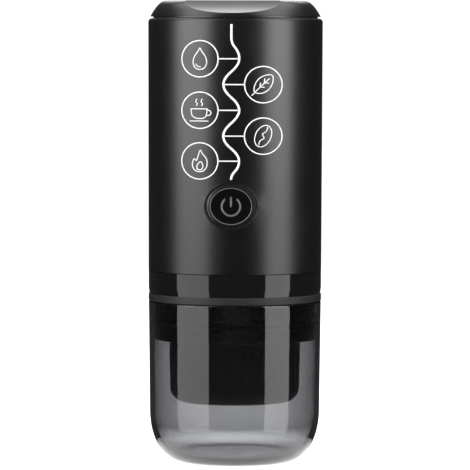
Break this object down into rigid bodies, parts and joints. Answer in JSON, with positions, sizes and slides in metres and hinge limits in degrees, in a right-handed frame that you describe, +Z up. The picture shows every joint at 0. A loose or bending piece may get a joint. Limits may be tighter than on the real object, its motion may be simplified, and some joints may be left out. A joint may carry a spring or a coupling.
{
  "type": "portable espresso maker",
  "caption": "Battery-powered portable espresso maker: tall round body with power button and screw lid, pump inside, brew head and capsule holder below, smoky serving cup as its foot.",
  "frame": {"origin": "centre of the cup's foot, on the surface that the maker stands on", "axes": "+Z up along the maker's axis; the power button faces -Y; +X is to the right of someone who looks at the button"},
  "size_m": [0.0764, 0.077, 0.2015],
  "materials": {
    "smoke_clear_plastic": "clear smoked plastic, polished",
    "grey_silicone": "dark grey silicone, dull",
    "black_rubber": "matte",
    "piano_black_plastic": "high gloss",
    "matt_black_plastic": "fine matte, soft to the touch",
    "satin_black_plastic": "satin",
    "bright_trim": "satin chrome",
    "black_nylon": "satin",
    "clear_silicone": "translucent, matte",
    "stainless_steel": "brushed",
    "insulating_foam": "matte foam",
    "cast_aluminium": "as cast",
    "frame_plastic": "matte",
    "pump_plastic": "matte white acetal",
    "gear_plastic": "natural nylon",
    "motor_steel": "zinc plated",
    "motor_cap_plastic": "matte",
    "magnet": "sintered",
    "green_board": "solder mask",
    "component_black": "moulded",
    "switch_black": "moulded",
    "switch_plunger_brown": "moulded",
    "nickel_strip": "nickel",
    "cell_wrap": "shrink wrap",
    "screw_steel": "zinc plated",
    "socket_steel": "stainless",
    "ceramic_cutout": "matte"
  },
  "bodies": {
    "machine": {"seat_ring": "grey_silicone", "cup_oring": "black_rubber", "pump_mounts": "black_rubber", "base_collar": "piano_black_plastic", "body_shell": "matt_black_plastic", "button_bezel": "matt_black_plastic", "brew_head": "black_nylon", "tank_collar": "black_nylon", "tank_gasket": "clear_silicone", "head_gasket": "clear_silicone", "inlet_hose": "clear_silicone", "outlet_hose": "clear_silicone", "water_tank": "stainless_steel", "shower_screen": "stainless_steel", "shower_screw": "stainless_steel", "tank_outlet": "stainless_steel", "tank_sleeve": "insulating_foam", "heat_shield": "insulating_foam", "heater_plate": "cast_aluminium", "chassis": "frame_plastic", "pump_case": "pump_plastic", "pump_cover": "pump_plastic", "motor_can": "motor_steel", "idler_pin": "motor_steel", "motor_end_cap": "motor_cap_plastic", "motor_magnets": "magnet", "circuit_board": "green_board", "charge_board": "green_board", "board_components": "component_black", "switch_body": "switch_black", "cell_tabs": "nickel_strip", "battery_cell_1": "cell_wrap", "battery_cell_2": "cell_wrap", "battery_cell_3": "cell_wrap", "chassis_screws": "screw_steel", "head_screws": "screw_steel", "collar_screws": "screw_steel", "board_screws": "screw_steel", "pump_screws": "screw_steel", "charge_socket": "socket_steel", "thermal_cutout": "ceramic_cutout"},
    "cup": {"cup": "smoke_clear_plastic"},
    "basket": {"filter_basket": "stainless_steel"},
    "holder": {"capsule_holder": "black_nylon"},
    "lid_ring": {"lid_seal": "clear_silicone"},
    "lid": {"lid_shell": "matt_black_plastic", "lid_liner": "black_nylon"},
    "button": {"power_button": "satin_black_plastic", "button_trim": "bright_trim", "switch_plunger": "switch_plunger_brown"},
    "port_cover": {"port_cover": "black_rubber"},
    "rotor": {"motor_rotor": "motor_steel", "drive_gear": "gear_plastic"},
    "idler": {"idler_gear": "gear_plastic"}
  },
  "joints": [
    {"name": "cup_pull", "type": "slide", "parent": "machine", "child": "cup", "axis": [0, 0, -1], "range_m": [0, 0.055]},
    {"name": "holder_drop", "type": "slide", "parent": "machine", "child": "basket", "axis": [0, 0, -1], "range_m": [0, 0.02]},
    {"name": "holder_turn", "type": "hinge", "parent": "basket", "child": "holder", "pos_m": [0, 0, 0.045], "axis": [0, 0, 1], "range_deg": [0, 60]},
    {"name": "lid_lift", "type": "slide", "parent": "machine", "child": "lid_ring", "axis": [0, 0, 1], "range_m": [0, 0.06]},
    {"name": "lid_turn", "type": "hinge", "parent": "lid_ring", "child": "lid", "pos_m": [0, 0, 0.195], "axis": [0, 0, 1], "range_deg": [0, 90]},
    {"name": "button_press", "type": "slide", "parent": "machine", "child": "button", "axis": [0, 1, 0], "range_m": [0, 0.0006], "stiffness_N_per_m": 600, "springref_m": -0.0006},
    {"name": "port_cover_swing", "type": "hinge", "parent": "machine", "child": "port_cover", "pos_m": [0.03651, -0.00461, 0.07993], "axis": [0, 0, 1], "range_deg": [0, 90]},
    {"name": "motor_spin", "type": "hinge", "parent": "machine", "child": "rotor", "pos_m": [0, -0.014, 0.11], "axis": [0, 0, 1], "continuous": true},
    {"name": "idler_spin", "type": "hinge", "parent": "machine", "child": "idler", "pos_m": [0, -0.0032, 0.092], "axis": [0, 0, 1], "continuous": true}
  ],
  "couplings": [
    {"joint": "idler_spin", "follows": "motor_spin", "ratio": -1}
  ]
}
